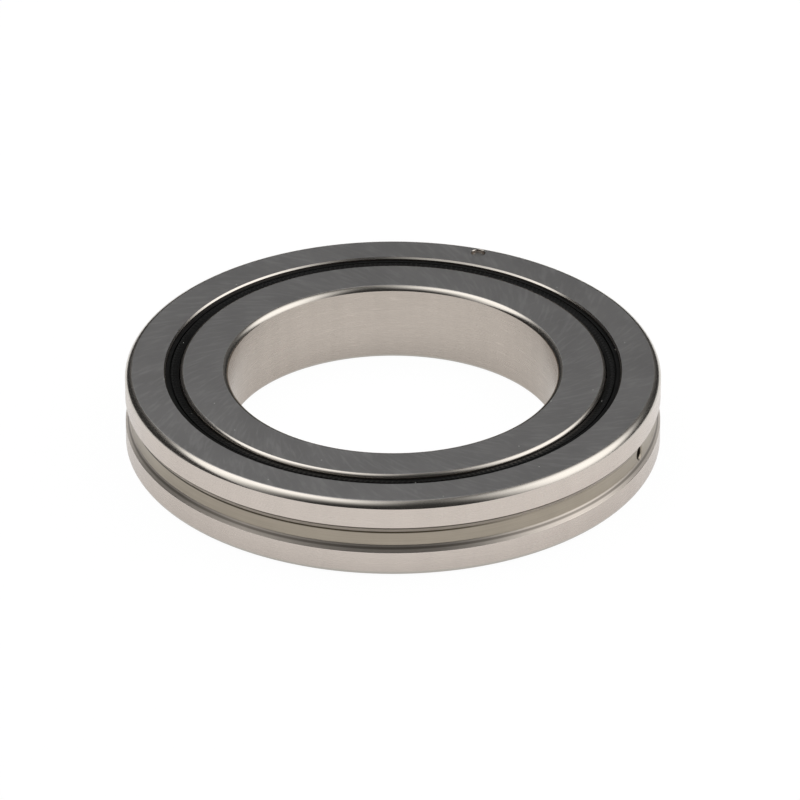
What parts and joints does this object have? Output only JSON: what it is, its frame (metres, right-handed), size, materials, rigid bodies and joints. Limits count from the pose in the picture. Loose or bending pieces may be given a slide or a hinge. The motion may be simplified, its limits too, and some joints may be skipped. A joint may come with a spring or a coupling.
{
  "type": "crossed roller bearing",
  "caption": "Slim crossed roller bearing: one-piece inner and outer ring with crossed rollers, separators, rubber seals, a loading plug with its pin, and an oil groove round the outside.",
  "frame": {"origin": "on the bearing's axis, in the plane of the lower side faces of both rings", "axes": "+Z along the bearing's axis, up from the lower side faces; +Y towards the loading plug and its pin; an oil hole close to +X"},
  "size_m": [0.065, 0.065, 0.01],
  "materials": {
    "ring_steel": "ground",
    "pin_steel": "ground",
    "roller_steel": "polished",
    "seal_rubber": "matte",
    "separator_resin": "matte"
  },
  "bodies": {
    "outer_ring": {"outer_ring": "ring_steel", "upper_seal": "seal_rubber", "lower_seal": "seal_rubber", "loading_plug": "ring_steel", "plug_pin": "pin_steel"},
    "inner_ring": {"inner_ring": "ring_steel"},
    "separator_ring": {"separator_01": "separator_resin", "separator_02": "separator_resin", "separator_03": "separator_resin", "separator_04": "separator_resin", "separator_05": "separator_resin", "separator_06": "separator_resin", "separator_07": "separator_resin", "separator_08": "separator_resin", "separator_09": "separator_resin", "separator_10": "separator_resin", "separator_11": "separator_resin", "separator_12": "separator_resin", "separator_13": "separator_resin", "separator_14": "separator_resin", "separator_15": "separator_resin", "separator_16": "separator_resin", "separator_17": "separator_resin", "separator_18": "separator_resin", "separator_19": "separator_resin", "separator_20": "separator_resin", "separator_21": "separator_resin", "separator_22": "separator_resin", "separator_23": "separator_resin", "separator_24": "separator_resin", "separator_25": "separator_resin", "separator_26": "separator_resin"},
    "roller_01": {"roller_01": "roller_steel"},
    "roller_02": {"roller_02": "roller_steel"},
    "roller_03": {"roller_03": "roller_steel"},
    "roller_04": {"roller_04": "roller_steel"},
    "roller_05": {"roller_05": "roller_steel"},
    "roller_06": {"roller_06": "roller_steel"},
    "roller_07": {"roller_07": "roller_steel"},
    "roller_08": {"roller_08": "roller_steel"},
    "roller_09": {"roller_09": "roller_steel"},
    "roller_10": {"roller_10": "roller_steel"},
    "roller_11": {"roller_11": "roller_steel"},
    "roller_12": {"roller_12": "roller_steel"},
    "roller_13": {"roller_13": "roller_steel"},
    "roller_14": {"roller_14": "roller_steel"},
    "roller_15": {"roller_15": "roller_steel"},
    "roller_16": {"roller_16": "roller_steel"},
    "roller_17": {"roller_17": "roller_steel"},
    "roller_18": {"roller_18": "roller_steel"},
    "roller_19": {"roller_19": "roller_steel"},
    "roller_20": {"roller_20": "roller_steel"},
    "roller_21": {"roller_21": "roller_steel"},
    "roller_22": {"roller_22": "roller_steel"},
    "roller_23": {"roller_23": "roller_steel"},
    "roller_24": {"roller_24": "roller_steel"},
    "roller_25": {"roller_25": "roller_steel"},
    "roller_26": {"roller_26": "roller_steel"}
  },
  "joints": [
    {"name": "inner_ring_spin", "type": "hinge", "parent": "outer_ring", "child": "inner_ring", "pos_m": [0, 0, 0.005], "axis": [0, 0, 1], "continuous": true},
    {"name": "separator_orbit", "type": "hinge", "parent": "outer_ring", "child": "separator_ring", "pos_m": [0, 0, 0.005], "axis": [0, 0, 1], "continuous": true},
    {"name": "roller_01_spin", "type": "hinge", "parent": "separator_ring", "child": "roller_01", "pos_m": [0.0265, 0, 0.005], "axis": [0.7071, 0, 0.7071], "continuous": true},
    {"name": "roller_02_spin", "type": "hinge", "parent": "separator_ring", "child": "roller_02", "pos_m": [0.02573, 0.00634, 0.005], "axis": [0.6866, 0.1692, -0.7071], "continuous": true},
    {"name": "roller_03_spin", "type": "hinge", "parent": "separator_ring", "child": "roller_03", "pos_m": [0.02346, 0.01232, 0.005], "axis": [0.6261, 0.3286, 0.7071], "continuous": true},
    {"name": "roller_04_spin", "type": "hinge", "parent": "separator_ring", "child": "roller_04", "pos_m": [0.01984, 0.01757, 0.005], "axis": [0.5293, 0.4689, -0.7071], "continuous": true},
    {"name": "roller_05_spin", "type": "hinge", "parent": "separator_ring", "child": "roller_05", "pos_m": [0.01505, 0.02181, 0.005], "axis": [0.4017, 0.5819, 0.7071], "continuous": true},
    {"name": "roller_06_spin", "type": "hinge", "parent": "separator_ring", "child": "roller_06", "pos_m": [0.0094, 0.02478, 0.005], "axis": [0.2507, 0.6612, -0.7071], "continuous": true},
    {"name": "roller_07_spin", "type": "hinge", "parent": "separator_ring", "child": "roller_07", "pos_m": [0.00319, 0.02631, 0.005], "axis": [0.0852, 0.702, 0.7071], "continuous": true},
    {"name": "roller_08_spin", "type": "hinge", "parent": "separator_ring", "child": "roller_08", "pos_m": [-0.00319, 0.02631, 0.005], "axis": [-0.0852, 0.702, -0.7071], "continuous": true},
    {"name": "roller_09_spin", "type": "hinge", "parent": "separator_ring", "child": "roller_09", "pos_m": [-0.0094, 0.02478, 0.005], "axis": [-0.2507, 0.6612, 0.7071], "continuous": true},
    {"name": "roller_10_spin", "type": "hinge", "parent": "separator_ring", "child": "roller_10", "pos_m": [-0.01505, 0.02181, 0.005], "axis": [-0.4017, 0.5819, -0.7071], "continuous": true},
    {"name": "roller_11_spin", "type": "hinge", "parent": "separator_ring", "child": "roller_11", "pos_m": [-0.01984, 0.01757, 0.005], "axis": [-0.5293, 0.4689, 0.7071], "continuous": true},
    {"name": "roller_12_spin", "type": "hinge", "parent": "separator_ring", "child": "roller_12", "pos_m": [-0.02346, 0.01232, 0.005], "axis": [-0.6261, 0.3286, -0.7071], "continuous": true},
    {"name": "roller_13_spin", "type": "hinge", "parent": "separator_ring", "child": "roller_13", "pos_m": [-0.02573, 0.00634, 0.005], "axis": [-0.6866, 0.1692, 0.7071], "continuous": true},
    {"name": "roller_14_spin", "type": "hinge", "parent": "separator_ring", "child": "roller_14", "pos_m": [-0.0265, 0, 0.005], "axis": [-0.7071, 0, -0.7071], "continuous": true},
    {"name": "roller_15_spin", "type": "hinge", "parent": "separator_ring", "child": "roller_15", "pos_m": [-0.02573, -0.00634, 0.005], "axis": [-0.6866, -0.1692, 0.7071], "continuous": true},
    {"name": "roller_16_spin", "type": "hinge", "parent": "separator_ring", "child": "roller_16", "pos_m": [-0.02346, -0.01232, 0.005], "axis": [-0.6261, -0.3286, -0.7071], "continuous": true},
    {"name": "roller_17_spin", "type": "hinge", "parent": "separator_ring", "child": "roller_17", "pos_m": [-0.01984, -0.01757, 0.005], "axis": [-0.5293, -0.4689, 0.7071], "continuous": true},
    {"name": "roller_18_spin", "type": "hinge", "parent": "separator_ring", "child": "roller_18", "pos_m": [-0.01505, -0.02181, 0.005], "axis": [-0.4017, -0.5819, -0.7071], "continuous": true},
    {"name": "roller_19_spin", "type": "hinge", "parent": "separator_ring", "child": "roller_19", "pos_m": [-0.0094, -0.02478, 0.005], "axis": [-0.2507, -0.6612, 0.7071], "continuous": true},
    {"name": "roller_20_spin", "type": "hinge", "parent": "separator_ring", "child": "roller_20", "pos_m": [-0.00319, -0.02631, 0.005], "axis": [-0.0852, -0.702, -0.7071], "continuous": true},
    {"name": "roller_21_spin", "type": "hinge", "parent": "separator_ring", "child": "roller_21", "pos_m": [0.00319, -0.02631, 0.005], "axis": [0.0852, -0.702, 0.7071], "continuous": true},
    {"name": "roller_22_spin", "type": "hinge", "parent": "separator_ring", "child": "roller_22", "pos_m": [0.0094, -0.02478, 0.005], "axis": [0.2507, -0.6612, -0.7071], "continuous": true},
    {"name": "roller_23_spin", "type": "hinge", "parent": "separator_ring", "child": "roller_23", "pos_m": [0.01505, -0.02181, 0.005], "axis": [0.4017, -0.5819, 0.7071], "continuous": true},
    {"name": "roller_24_spin", "type": "hinge", "parent": "separator_ring", "child": "roller_24", "pos_m": [0.01984, -0.01757, 0.005], "axis": [0.5293, -0.4689, -0.7071], "continuous": true},
    {"name": "roller_25_spin", "type": "hinge", "parent": "separator_ring", "child": "roller_25", "pos_m": [0.02346, -0.01232, 0.005], "axis": [0.6261, -0.3286, 0.7071], "continuous": true},
    {"name": "roller_26_spin", "type": "hinge", "parent": "separator_ring", "child": "roller_26", "pos_m": [0.02573, -0.00634, 0.005], "axis": [0.6866, -0.1692, -0.7071], "continuous": true}
  ],
  "couplings": [
    {"joint": "separator_orbit", "follows": "inner_ring_spin", "ratio": 0.46998},
    {"joint": "roller_01_spin", "follows": "inner_ring_spin", "ratio": -5.8677},
    {"joint": "roller_02_spin", "follows": "inner_ring_spin", "ratio": 5.8677},
    {"joint": "roller_03_spin", "follows": "inner_ring_spin", "ratio": -5.8677},
    {"joint": "roller_04_spin", "follows": "inner_ring_spin", "ratio": 5.8677},
    {"joint": "roller_05_spin", "follows": "inner_ring_spin", "ratio": -5.8677},
    {"joint": "roller_06_spin", "follows": "inner_ring_spin", "ratio": 5.8677},
    {"joint": "roller_07_spin", "follows": "inner_ring_spin", "ratio": -5.8677},
    {"joint": "roller_08_spin", "follows": "inner_ring_spin", "ratio": 5.8677},
    {"joint": "roller_09_spin", "follows": "inner_ring_spin", "ratio": -5.8677},
    {"joint": "roller_10_spin", "follows": "inner_ring_spin", "ratio": 5.8677},
    {"joint": "roller_11_spin", "follows": "inner_ring_spin", "ratio": -5.8677},
    {"joint": "roller_12_spin", "follows": "inner_ring_spin", "ratio": 5.8677},
    {"joint": "roller_13_spin", "follows": "inner_ring_spin", "ratio": -5.8677},
    {"joint": "roller_14_spin", "follows": "inner_ring_spin", "ratio": 5.8677},
    {"joint": "roller_15_spin", "follows": "inner_ring_spin", "ratio": -5.8677},
    {"joint": "roller_16_spin", "follows": "inner_ring_spin", "ratio": 5.8677},
    {"joint": "roller_17_spin", "follows": "inner_ring_spin", "ratio": -5.8677},
    {"joint": "roller_18_spin", "follows": "inner_ring_spin", "ratio": 5.8677},
    {"joint": "roller_19_spin", "follows": "inner_ring_spin", "ratio": -5.8677},
    {"joint": "roller_20_spin", "follows": "inner_ring_spin", "ratio": 5.8677},
    {"joint": "roller_21_spin", "follows": "inner_ring_spin", "ratio": -5.8677},
    {"joint": "roller_22_spin", "follows": "inner_ring_spin", "ratio": 5.8677},
    {"joint": "roller_23_spin", "follows": "inner_ring_spin", "ratio": -5.8677},
    {"joint": "roller_24_spin", "follows": "inner_ring_spin", "ratio": 5.8677},
    {"joint": "roller_25_spin", "follows": "inner_ring_spin", "ratio": -5.8677},
    {"joint": "roller_26_spin", "follows": "inner_ring_spin", "ratio": 5.8677}
  ]
}
